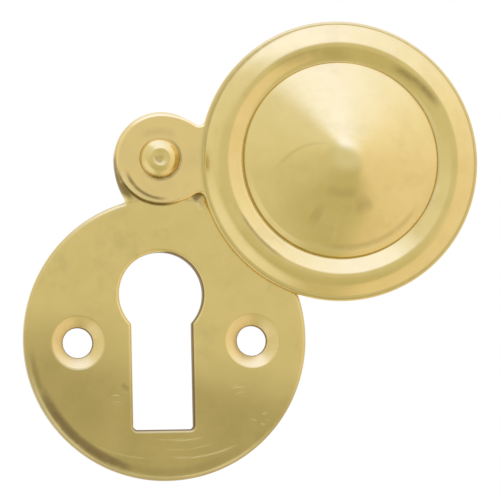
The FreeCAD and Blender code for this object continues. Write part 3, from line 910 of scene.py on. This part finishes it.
def ring_mark():
    """A soft mark at a radius and an angle about an axis. Lean makes it climb as it goes round."""
    tree, given, out = group(
        "ring_mark",
        {
            "Radius": 0.0,
            "Angle": 0.0,
            "At Radius": 10 * MM,
            "Reach": 0.5 * MM,
            "At Angle": 0.0,
            "Spread": 10.0,
            "Lean": 0.0,
        },
        ("Mark",),
    )
    aside = maths(tree, "WRAP", maths(tree, "SUBTRACT", given["Angle"], given["At Angle"]), 180.0, -180.0)
    middle = maths(tree, "ADD", given["At Radius"], maths(tree, "MULTIPLY", aside, given["Lean"]))
    away = maths(tree, "ABSOLUTE", maths(tree, "SUBTRACT", given["Radius"], middle))
    thin = ramp(tree, maths(tree, "DIVIDE", away, given["Reach"]), 0.0, 1.0, 1.0, 0.0)
    ends = maths(tree, "DIVIDE", maths(tree, "ABSOLUTE", aside), given["Spread"])
    long = ramp(tree, ends, FULL_SHARE, 1.0, 1.0, 0.0)
    tree.links.new(maths(tree, "MULTIPLY", thin, long), out["Mark"])
    return tree


mark_group = ring_mark()
print(mark_group.name, "has", len(mark_group.nodes), "nodes")


# %% Several marks at once
def strongest_marks(tree, turned, marks):
    """The strongest of several marks: axis, radius and reach in mm, angle, spread, lean in mm, strength."""
    most = None
    for about, at, reach, angle, spread, lean, strength in marks:
        mark = use(
            tree,
            mark_group,
            {
                "Radius": turned[about]["Radius"],
                "Angle": turned[about]["Angle"],
                "At Radius": at * MM,
                "Reach": reach * MM,
                "At Angle": angle,
                "Spread": spread,
                "Lean": lean * MM,
            },
        )["Mark"]
        one = maths(tree, "MULTIPLY", mark, strength)
        most = one if most is None else maths(tree, "MAXIMUM", most, one)
    return most


print("a mark about its own axis or the other one has seven values")

# %% [markdown]
# ## Brown film and painted shade
#
# Where a cloth can't reach, old polish and tarnish dry to a brown film: in the groove and faintly round the
# rivet. Away from those creases only faint spots of it are left. The same brown also paints shade along
# the line where two pieces touch, in the rivet's crease at the lower right and on the plate's lower edge.
# The creases come from ring marks, and fine noise makes their borders ragged.

# %% Brown film and painted shade
def film_and_painted_shade():
    """Brown film by itself in soft spots, and a ragged brown of film and painted shade where Crease is near
    one.
    """
    tree, given, out = group(
        "film_and_painted_shade", {"Place": ORIGIN, "Crease": 0.0, "Spots": 0.2}, ("Film And Shade",)
    )
    cloud = noise(tree, given["Place"], 260.0, 4.0, 0.62)
    spots = maths(tree, "MULTIPLY", ramp(tree, cloud, 0.5, 0.75), given["Spots"])
    grain = ramp(tree, noise(tree, given["Place"], 900.0, 3.0), 0.2, 0.6, 0.55, 1.0)
    ragged = maths(tree, "MULTIPLY", given["Crease"], grain)
    tree.links.new(maths(tree, "MAXIMUM", spots, ragged), out["Film And Shade"])
    return tree


film_and_shade_group = film_and_painted_shade()
print(film_and_shade_group.name, "has", len(film_and_shade_group.nodes), "nodes")

# %% [markdown]
# ## Metal that isn't quite flat
#
# Pressed and polished sheet is never quite flat, and a mirror shows it: reflections swim a little. Waves
# of a few thousandths of a millimetre are too small for the mesh, so they are a height for a Bump node.

# %% Uneven metal
def uneven_metal():
    """Height in metres of the soft waves that pressing and polishing leave."""
    tree, given, out = group(
        "uneven_metal", {"Place": ORIGIN, "Waves": 0.006 * MM, "Ripples": 0.0004 * MM}, ("Height",)
    )
    waves = maths(tree, "MULTIPLY", noise(tree, given["Place"], 110.0, 1.0), given["Waves"])
    ripples = maths(tree, "MULTIPLY", noise(tree, given["Place"], 1100.0, 2.0), given["Ripples"])
    tree.links.new(maths(tree, "ADD", waves, ripples), out["Height"])
    return tree


waves_group = uneven_metal()
print(waves_group.name, "has", len(waves_group.nodes), "nodes")

# %% [markdown]
# ## Painted shade below a level
#
# The lower half of the real plate is darker, with a soft border that runs across it. Part of that is the
# room's darker lower half in the mirror, and the rest is painted shade: below a level the metal is darker
# and rougher, and a slow sway makes the border uneven.

# %% The painted shade below a level
SWAY_HEIGHT = 12 * MM


def darker_low_side():
    """Painted shade: everything below a level is darker, with a wavy soft border."""
    tree, given, out = group(
        "darker_low_side", {"Place": ORIGIN, "Level": 0.0, "Softness": 4 * MM, "Tilt": 0.2}, ("Low Shade",)
    )
    parts = parts_of(tree, given["Place"])
    height = maths(tree, "ADD", parts["Z"], maths(tree, "MULTIPLY", parts["X"], given["Tilt"]))
    swing = maths(tree, "SUBTRACT", noise(tree, given["Place"], 70.0, 1.0), 0.5)
    height = maths(tree, "ADD", height, maths(tree, "MULTIPLY", swing, SWAY_HEIGHT))
    off = maths(tree, "SUBTRACT", height, given["Level"])
    share = ramp(tree, maths(tree, "DIVIDE", off, given["Softness"]), -1.0, 1.0, 1.0, 0.0)
    patchy = ramp(tree, noise(tree, given["Place"], 180.0, 3.0), 0.25, 0.7, 0.75, 1.0)
    tree.links.new(maths(tree, "MULTIPLY", share, patchy), out["Low Shade"])
    return tree


low_shade_group = darker_low_side()
print(low_shade_group.name, "has", len(low_shade_group.nodes), "nodes")

# %% [markdown]
# ## Stamped walls and drilled cones
#
# The walls of the keyhole and of the screw holes are made dark and rough, while the cones that the drill
# cut are bright and a little matt. Faces could be given other materials, but their borders would be hard.
# All of these lie deeper than the front, so depth finds them, with a soft border. The dark begins close
# under the front at the right and at the foot of the keyhole, below the whole rounded edge at the left, and
# below the cone in the screw holes.

# %% Masks for the walls and the cones
UNDER_FRONT = 0.09 * MM
UNDER_EDGE = 0.5 * MM
UNDER_CONE = 0.78 * MM
FOOT_EDGE = 0.06 * MM


def cut_walls(tree, place, radius):
    """Masks for the stamped walls and for the drilled cones, both away from the plate's own edge."""
    x, y, z = parts_of(tree, place)
    depth = maths(tree, "SUBTRACT", y, front)
    within = ramp(tree, radius, 14.5 * MM, 15.5 * MM, 1.0, 0.0)
    right = ramp(tree, x, -1.5 * MM, 1.0 * MM, UNDER_EDGE, UNDER_FRONT)
    foot = ramp(tree, z, -10.75 * MM, -10.4 * MM, FOOT_EDGE, UNDER_EDGE)
    screw = ramp(tree, maths(tree, "ABSOLUTE", x), 6 * MM, 7.5 * MM, 0.0, UNDER_CONE)
    begins = maths(tree, "MAXIMUM", maths(tree, "MINIMUM", right, foot), screw)
    walls = ramp(tree, maths(tree, "SUBTRACT", depth, begins), 0.0, 0.12 * MM, 0.0, 0.9)
    screw_depth = maths(tree, "MULTIPLY", depth, ramp(tree, screw, 0.0, 0.5 * MM))
    cones = ramp(tree, screw_depth, 0.05 * MM, 0.14 * MM)
    return maths(tree, "MULTIPLY", walls, within), maths(tree, "MULTIPLY", cones, within)


print("walls are dark from", UNDER_FRONT / MM, "to", UNDER_CONE / MM, "mm under the front")

# %% [markdown]
# ## Brass
#
# All three pieces are the same yellow brass. A metal has no colour of its own but tints what it mirrors,
# so the Principled shader gets Metallic 1 and a warm base colour, and roughness makes the mirror softer.
# Real brass then shows its history in thin layers, and some layers here paint light instead: a highlight
# at the dome's tip, shade over the plate's lower part, and shade and highlights along edges and creases.
# Each layer is a mask, a colour and how much rougher it is, and they are laid over each other from the
# oldest to the newest, film and painted shade last. Marks are only on the front, because nobody polishes or
# rubs the back.

# %% Colours of the layers, and how much rougher each is
BRASS = (0.77, 0.6, 0.235, 1)
OLD_BRASS = (0.66, 0.5, 0.16, 1)
# A painted highlight for the dome's tip.
TIP_HIGHLIGHT = ((0.86, 0.72, 0.36, 1), 0)
WARM = ((0.862, 0.648, 0.281, 1), 0)
# Painted shade below a level.
LOW_SHADE = ((0.49, 0.375, 0.125, 1), 0.08)
# Rubbed brass, and painted highlights along edges.
RUBBED_AND_HIGHLIGHT = ((0.86, 0.72, 0.36, 1), 0.2)
DRILLED = ((0.8, 0.62, 0.255, 1), 0.12)
# Darker, rougher walls.
DARK_WALL = ((0.2, 0.125, 0.05, 1), 0.3)
# Brown film, and painted shade in creases and under the cover.
FILM_AND_SHADE = ((0.32, 0.23, 0.08, 1), 0.25)
print("seven layers over", BRASS[:3])

# %% Scratches that every piece has
HAIR_WIDTH = 0.06 * MM
HAIR_LENGTH = 5 * MM
HAIRS = ((0.35, 0.3), (1.9, 0.22), (-0.9, 0.15))
TICK = {"Direction": -0.15, "Width": 0.22 * MM, "Length": 1.9 * MM, "Share": 0.6}


def scratched(tree, place):
    """Hair lines in three directions, each in radians and with its own share."""
    most = 0.0
    for direction, share in HAIRS:
        hair = {"Direction": direction, "Width": HAIR_WIDTH, "Length": HAIR_LENGTH, "Share": share}
        most = maths(tree, "MAXIMUM", most, use(tree, lines_group, {"Place": place, **hair})["Lines"])
    return most


print("hair lines run in", len(HAIRS), "directions")


# %% The layers of one brass
def layers_of(tree, place, turned, front_side, dirt_and_shade, scuffs_and_highlights, ticks, spots, shade_level, walls, middle, ear):
    """Masks and finishes from the oldest layer to the newest."""
    rings, radius = turned["own"]["Rings"], turned["own"]["Radius"]
    layers = []

    def in_front(mask, finish):
        layers.append((maths(tree, "MULTIPLY", mask, front_side), finish))

    if middle:
        # A painted highlight round the dome's tip, out to the middle radius.
        in_front(ramp(tree, radius, 0.4 * middle * MM, middle * MM, 0.5, 0.0), TIP_HIGHLIGHT)
    if ear:
        in_front(ramp(tree, radius, ear * MM, (ear + 0.5) * MM, 0.0, 0.8), WARM)
    if shade_level is not None:
        # Painted shade below a level, darker and rougher.
        layers.append((use(tree, low_shade_group, {"Place": place, "Level": shade_level * MM})["Low Shade"], LOW_SHADE))
    if ticks:
        short = use(tree, lines_group, {"Place": place, **TICK})["Lines"]
        in_front(maths(tree, "MULTIPLY", strongest_marks(tree, turned, ticks), short), RUBBED_AND_HIGHLIGHT)
    # Rubbed marks, and painted highlights along edges.
    if scuffs_and_highlights:
        broken = ramp(tree, rings, 0.35, 0.6, 0.2, 1.0)
        in_front(maths(tree, "MULTIPLY", strongest_marks(tree, turned, scuffs_and_highlights), broken), RUBBED_AND_HIGHLIGHT)
    if walls:
        cut, drilled = cut_walls(tree, place, radius)
        in_front(drilled, DRILLED)
        in_front(cut, DARK_WALL)
    # Brown film and painted shade along the creases that the marks give.
    crease = maths(tree, "MULTIPLY", strongest_marks(tree, turned, dirt_and_shade), front_side)
    film = use(tree, film_and_shade_group, {"Place": place, "Crease": crease, "Spots": spots})["Film And Shade"]
    return layers + [(film, FILM_AND_SHADE)]


print("a finish can have", len((TIP_HIGHLIGHT, WARM, LOW_SHADE, RUBBED_AND_HIGHLIGHT, DRILLED, DARK_WALL, FILM_AND_SHADE)), "kinds of layer")

# %% Brass from its layers
WHEEL_RING = 0.16 * MM
OTHER_RING = 0.1 * MM
RING_DEPTH = 0.0003 * MM
RING_ROUGHNESS = 0.06
SCRATCH_ROUGHNESS = 0.12
AGED_SHARE = 0.22


def brass(
    metal,
    own_axis,
    other_axis,
    dirt_and_shade,
    scuffs_and_highlights=(),
    ticks=(),
    polish=0.15,
    scratch=0.0008 * MM,
    spots=0.14,
    flutes=0.0,
    shade_level=None,
    walls=False,
    middle=0.0,
    ear=0.0,
):
    """Fills a metal with brass. Its marks of film and shade, of wear and highlights, and its ticks lie about
    its own axis or the other one.

    Polish is its roughness, scratch the depth of a hair line, spots the strength of loose film, and flutes
    the height of the spokes. Below the shade level it gets painted shade. Walls has it look for cut walls.
    Middle is the radius of a painted highlight at the tip, and ear the radius beyond which it is warmer, in
    mm.
    """
    metal.use_nodes = True
    tree = metal.node_tree
    tree.nodes.clear()
    coordinates = tree.nodes.new("ShaderNodeTexCoord").outputs
    place = coordinates["Object"]
    front_side = ramp(tree, parts_of(tree, coordinates["Normal"])["Y"], 0.15, 0.5, 1.0, 0.0)
    turned = {
        "own": use(tree, rings_group, {"Place": place, "Axis": own_axis, "Ring Width": WHEEL_RING}),
        "other": use(tree, rings_group, {"Place": place, "Axis": other_axis, "Ring Width": OTHER_RING}),
    }
    rings = turned["own"]["Rings"]
    scratches = scratched(tree, place)

    aged = ramp(tree, noise(tree, place, 420.0, 4.0), 0.3, 0.7, 0.0, AGED_SHARE)
    colour = mixed(tree, aged, BRASS, OLD_BRASS)
    rough = maths(tree, "MULTIPLY_ADD", scratches, SCRATCH_ROUGHNESS, polish)
    rough = maths(tree, "MULTIPLY_ADD", rings, RING_ROUGHNESS, rough)
    for mask, (over, rougher) in layers_of(
        tree, place, turned, front_side, dirt_and_shade, scuffs_and_highlights, ticks, spots, shade_level, walls, middle, ear
    ):
        colour = mixed(tree, mask, colour, over)
        rough = maths(tree, "MULTIPLY_ADD", mask, rougher, rough)

    height = use(tree, waves_group, {"Place": place})["Height"]
    height = maths(tree, "MULTIPLY_ADD", scratches, -scratch, height)
    height = maths(tree, "MULTIPLY_ADD", rings, RING_DEPTH, height)
    if flutes:
        from_middle = ramp(tree, turned["own"]["Radius"], 2 * MM, 6 * MM, 0.0, flutes)
        height = maths(tree, "MULTIPLY_ADD", turned["own"]["Spokes"], from_middle, height)
    bump = node(tree, "ShaderNodeBump", {"Height": height, "Distance": 1.0, "Strength": 1.0})
    shader = node(
        tree,
        "ShaderNodeBsdfPrincipled",
        {"Base Color": colour, "Metallic": 1.0, "Roughness": rough, "Normal": bump.outputs["Normal"]},
    )
    node(tree, "ShaderNodeOutputMaterial", {"Surface": shader.outputs[0]})
    print(metal.name, "has", len(tree.nodes), "nodes")


ALL_ROUND = 1000.0
cover_axis = tuple(cover_centre)
pivot_axis = tuple(pivot_line)
print("axes", [round(v / MM, 2) for v in cover_axis], [round(v / MM, 2) for v in pivot_axis])

# %% [markdown]
# ## The cover's brass
#
# The cover is the best polished piece, and it has film in the groove and at the foot of the ring. Its tip
# has a painted highlight, and round the rivet and along the ear's lower left edge it has painted shade and
# a painted highlight. Angles run from the right over the top, in degrees, about the cover's own middle or
# about the other axis, the rivet.

# %% The cover's brass
brass(
    cover_metal,
    cover_axis,
    pivot_axis,
    dirt_and_shade=(
        # The groove, and the rim.
        ("own", 12.27, 0.13, 20, 70, 0, 0.95),
        ("own", 12.2, 0.3, 205, 75, 0, 0.34),
        ("own", 12.27, 0.12, 0, ALL_ROUND, 0, 0.25),
        ("own", 16.95, 0.22, 150, 48, 0, 0.55),
        ("own", 17.2, 0.3, 40, ALL_ROUND, 0, 0.32),
        # Stains on the ring.
        ("own", 13.7, 0.75, 44, 19, -0.02, 0.7),
        ("own", 14.3, 0.34, 222, 19, 0, 0.6),
        ("own", 13.6, 1.4, 104, 26, 0.03, 0.3),
        # Faint stains on the dome.
        ("own", 11.0, 0.6, 292, 44, 0, 0.28),
        ("own", 5.6, 0.6, 168, 26, 0.14, 0.17),
        ("own", 6.3, 1.6, 290, 13, 0, 0.3),
        ("own", 4.6, 1.1, 262, 30, 0, 0.22),
        ("own", 8.0, 1.8, 243, 6, 0, 0.2),
        # Painted shade at the rivet's lower right and on the ear's lower left edge and outer wall; faint film
        # above the rivet.
        ("other", 2.62, 0.32, -35, 120, 0, 0.75),
        ("other", 3.4, 0.9, 92, 45, 0, 0.2),
        ("other", 4.72, 0.36, 240, 46, 0.0085, 1.0),
        ("other", 5.44, 0.2, 240, 62, 0.004, 0.9),
    ),
    scuffs_and_highlights=(
        ("own", 9.0, 3.0, 262, 2.2, 0, 0.25),
        ("own", 8.4, 3.0, 247, 1.6, 0, 0.2),
        ("own", 12.55, 0.4, 5, 45, 0, 0.8),
        ("own", 11.3, 0.5, 268, 42, 0, 0.5),
        # A painted highlight along the ear's rounded edge at the lower left.
        ("other", 5.2, 0.24, 240, 60, 0.005, 1.3),
    ),
    polish=0.13,
    spots=0.1,
    flutes=0.02 * MM,
    # A painted highlight round the tip, out to 2.6 mm.
    middle=2.6,
    ear=17.3,
)

# %% [markdown]
# ## The plate's brass
#
# The plate lies flat under fingers and keys, so it has the most scratches: arcs under the keyhole that the
# swinging cover drew, and short ticks at both sides of the slot. A bright line along its lower edge and
# another beside the cover's ear are painted highlights. Painted shade lies where the cover's ear and rim
# rest on it, on the roll of its lower edge, and over its lower part below a level.

# %% The plate's brass
brass(
    plate_metal,
    tuple(plate_centre),
    pivot_axis,
    dirt_and_shade=(
        # Painted shade under the cover's rim and ear, and in the corner between them.
        ("other", 6.55, 0.9, -43.5, 9, 0, 1.8),
        ("other", 7.2, 2.0, -44.5, 6, 0, 0.35),
        ("other", 5.52, 0.3, 245, 66, 0.0045, 1.2),
        ("other", 5.8, 0.8, 203, 40, 0, 1.5),
        # Painted shade on the roll of the lower edge, and a film spot beside the slot.
        ("own", 16.5, 0.85, 228, 32, 0, 1.9),
        ("own", 16.4, 0.8, 268, 40, 0, 0.35),
        ("own", 7.85, 0.5, 229, 5, 0, 0.5),
        ("own", 16.6, 0.6, 202, 22, 0, 0.6),
        ("own", 17.35, 0.3, 0, ALL_ROUND, 0, 0.25),
    ),
    scuffs_and_highlights=(
        # A painted highlight: a light line on the rolled edge beside the cover's ear.
        ("other", 7.5, 1.1, -50.5, 2.6, 0, 0.8),
        # A painted highlight along the lower edge.
        ("own", 17.15, 0.35, 255, 75, 0, 1.2),
        ("own", 15.17, 0.2, 287, 18, 0.035, 0.6),
        ("own", 15.3, 0.16, 249, 16, -0.035, 0.3),
        ("own", 12.73, 0.2, 280, 11, 0.027, 0.6),
        ("own", 12.5, 0.14, 271, 10, 0.0, 0.5),
        ("own", 13.9, 0.14, 281, 14, 0.02, 0.4),
    ),
    ticks=(
        ("own", 11.0, 1.5, 327, 9, 0, 0.5),
        ("own", 15.4, 1.3, 318, 7, 0, 0.6),
        ("own", 9.2, 1.7, 231, 12, 0, 0.5),
    ),
    scratch=0.0012 * MM,
    # Painted shade below this level, in mm.
    shade_level=-2.5,
    walls=True,
)

# %% [markdown]
# ## The rivet's brass
#
# A faint film lies all round the rivet's foot and in its dimple. Painted shade darkens the crease at the
# lower right of its foot and the dimple's lower left.

# %% The rivet's brass
brass(
    rivet_metal,
    pivot_axis,
    cover_axis,
    dirt_and_shade=(
        # Painted shade in the crease at the foot's lower right, and faint film all round it.
        ("own", 2.46, 0.3, -55, 100, 0, 1.1),
        ("own", 2.48, 0.16, 0, ALL_ROUND, 0, 0.6),
        # Painted shade on the dimple's lower left, and faint film in its middle.
        ("own", 0.58, 0.45, 228, 90, 0, 0.6),
        ("own", 0.1, 0.5, 0, ALL_ROUND, 0, 0.4),
    ),
)

# %% [markdown]
# ## The room
#
# Polished metal shows the room, so the room is half of the look. A room of lamps and cards could be
# modelled, but then every card is seen or hidden by hand. Here the world itself is the room, told by
# directions round the one that the plate's front mirrors into the camera. Its walls change as one looks
# round: bright and cool above, darker and warmer below. A plain middle is what the flat faces show. Behind
# the piece, as the camera looks, it is white.

# %% Directions in the room
FACING = Vector((0.147, -0.985, 0.087)).normalized()
studio = bpy.data.worlds.new("studio")
bpy.context.scene.world = studio
studio.use_nodes = True
room = studio.node_tree
room.nodes.clear()
look = room.nodes.new("ShaderNodeTexCoord").outputs["Generated"]


def towards(image_angle, off):
    """A direction that is off the facing one by some degrees, at an angle round it as the camera sees it."""
    right = FACING.cross(Vector((0, 0, 1))).normalized() * -1
    upwards = right.cross(FACING).normalized() * -1
    around, away = math.radians(image_angle), math.radians(off)
    side = right * math.cos(around) + upwards * math.sin(around)
    return FACING * math.cos(away) + side * math.sin(away)


def leaning(image_angle, off):
    """How far a look leans towards a direction, from 1 to -1."""
    return vectors(room, "DOT_PRODUCT", look, tuple(towards(image_angle, off)))


def patch(toward, inner, outer):
    """A soft round patch: one within the inner angle of its middle, zero beyond the outer."""
    return ramp(room, toward, math.cos(math.radians(outer)), math.cos(math.radians(inner)))


print("up in the picture is", [round(v, 2) for v in towards(90, 90)])

# %% The walls, by the angle at which the camera sees them
WALLS = (
    (0, (1.06, 1.0, 1.02)),
    (30, (1.17, 1.19, 1.4)),
    (60, (1.25, 1.37, 2.1)),
    (88, (1.32, 1.5, 2.75)),
    (112, (1.32, 1.5, 2.6)),
    (128, (0.98, 1.02, 1.15)),
    (160, (0.94, 0.97, 1.0)),
    (200, (0.83, 0.84, 0.75)),
    (240, (0.74, 0.74, 0.6)),
    (272, (0.76, 0.74, 0.61)),
    (286, (0.98, 0.91, 0.84)),
    (330, (1.03, 0.97, 0.97)),
    (360, (1.06, 1.0, 1.02)),
)
round_angle = maths(room, "ARCTAN2", leaning(90, 90), leaning(0, 90))
turn = maths(room, "FRACT", maths(room, "DIVIDE", round_angle, 2 * math.pi))
walls = node(room, "ShaderNodeValToRGB", {"Fac": turn})
stops = walls.color_ramp.elements
while len(stops) < len(WALLS):
    stops.new(0.5)
# Moving a stop can sort the stops anew, so they get their colours only when all are in place.
for stop, (angle, _) in zip(stops, WALLS):
    stop.position = angle / 360
for stop, (_, colour) in zip(stops, WALLS):
    stop.color = (*colour, 1)
print("walls change at", [angle for angle, _ in WALLS])

# %% The middle, a pale patch at the lower left, and the white behind
MIDDLE = (0.82, 0.83, 0.78, 1)
MIDDLE_LOW = (0.7, 0.7, 0.56, 1)
PALE_PATCH = (1.06, 1.09, 1.25, 1)
WHITE = (1, 1, 1, 1)
EVEN_LIGHT = (0.5, 0.49, 0.45, 1)

lower = ramp(room, leaning(90, 90), -0.62, -0.2, 1.0, 0.0)
light = mixed(
    room, patch(leaning(241, 23), 29, 46), walls.outputs["Color"], mixed(room, lower, MIDDLE, MIDDLE_LOW)
)
light = mixed(room, patch(leaning(218, 95), 12, 48), light, PALE_PATCH)
light = mixed(room, ramp(room, leaning(0, 180), 0.1, 0.45), light, WHITE)

rays = room.nodes.new("ShaderNodeLightPath").outputs
mirrored = mixed(room, rays["Is Glossy Ray"], EVEN_LIGHT, light)
seen = maths(room, "MAXIMUM", rays["Is Camera Ray"], rays["Is Transmission Ray"])
final = mixed(room, seen, mirrored, WHITE)
shade = node(room, "ShaderNodeBackground", {"Color": final, "Strength": 1.0})
node(room, "ShaderNodeOutputWorld", {"Surface": shade.outputs[0]})
print("the room has", len(room.nodes), "nodes; the camera sees only its white")

# %% [markdown]
# ## The floor and the lamp
#
# A shadow needs a floor, but a floor would also show in the metal, and hide the piece from below. So this
# one is clear from below and in reflections. One soft lamp above gives the piece its shadow and stays out
# of the reflections too, because the room already holds all the light that they should show.

# %% The floor
FLOOR_HEIGHT = -60 * MM
FLOOR_HALF = 0.9
FLOOR_PAINT = {"Base Color": (0.86, 0.86, 0.85, 1), "Roughness": 0.9}

floor_mesh = bpy.data.meshes.new("floor")
floor_mesh.from_pydata(
    [(x * FLOOR_HALF, y * FLOOR_HALF, FLOOR_HEIGHT) for x, y in ((-1, -1), (1, -1), (1, 1), (-1, 1))],
    [],
    [(0, 1, 2, 3)],
)
floor = bpy.data.objects.new("floor", floor_mesh)
bpy.context.collection.objects.link(floor)
pale = bpy.data.materials.new("pale_floor")
pale.use_nodes = True
paint = pale.node_tree
paint.nodes.clear()
matt = node(paint, "ShaderNodeBsdfPrincipled", FLOOR_PAINT)
clear = node(paint, "ShaderNodeBsdfTransparent")
under = paint.nodes.new("ShaderNodeNewGeometry").outputs["Backfacing"]
glossy = paint.nodes.new("ShaderNodeLightPath").outputs["Is Glossy Ray"]
hidden = maths(paint, "MAXIMUM", under, glossy)
either = node(paint, "ShaderNodeMixShader", {0: hidden, 1: matt.outputs[0], 2: clear.outputs[0]})
node(paint, "ShaderNodeOutputMaterial", {"Surface": either.outputs[0]})
floor_mesh.materials.append(pale)
print("floor", 2 * FLOOR_HALF, "m across at", FLOOR_HEIGHT / MM, "mm")

# %% The lamp
LAMP_SIZE = 0.35
LAMP_POWER = 1.0
LAMP_PLACE = Vector((0.02, -0.12, 0.5))
LAMP_AIM = Vector((0.01, 0, 0))

lamp_data = bpy.data.lights.new("soft_lamp", "AREA")
lamp_data.shape = "DISK"
lamp_data.size = LAMP_SIZE
lamp_data.energy = LAMP_POWER
lamp = bpy.data.objects.new("soft_lamp", lamp_data)
bpy.context.collection.objects.link(lamp)
lamp.location = LAMP_PLACE
lamp.rotation_euler = (LAMP_PLACE - LAMP_AIM).to_track_quat("Z", "Y").to_euler()
lamp.visible_glossy = False
print("lamp of", LAMP_POWER, "W at", [round(v, 2) for v in LAMP_PLACE])

# %% [markdown]
# ## The camera
#
# The photo was taken nearly head-on, from a little left and below, and slightly turned. The distance and
# the angles were found by fitting the two discs' outlines and the keyhole, and they stay fixed: a small
# change would shift the dome's tip against its rim at once.

# %% The camera
AIM = Vector((10.957, 0, 11.337)) * MM
DISTANCE = 450 * MM
AZIMUTH = math.radians(-8.5)
ELEVATION = math.radians(-5)
IMAGE_TURN = math.radians(-1.27)
LENS = 260.9
SENSOR_WIDTH = 36

toward_camera = Vector(
    (
        math.sin(AZIMUTH) * math.cos(ELEVATION),
        -math.cos(AZIMUTH) * math.cos(ELEVATION),
        math.sin(ELEVATION),
    )
)
camera_data = bpy.data.cameras.new("camera")
camera_data.lens = LENS
camera_data.sensor_width = SENSOR_WIDTH
camera = bpy.data.objects.new("camera", camera_data)
bpy.context.collection.objects.link(camera)
camera.location = AIM + toward_camera * DISTANCE
roll = Matrix.Rotation(IMAGE_TURN, 4, toward_camera)
camera.rotation_euler = (roll @ toward_camera.to_track_quat("Z", "Y").to_matrix().to_4x4()).to_euler()
bpy.context.scene.camera = camera
bpy.context.scene.view_settings.view_transform = "Standard"
print("camera at", [round(v, 3) for v in camera.location])
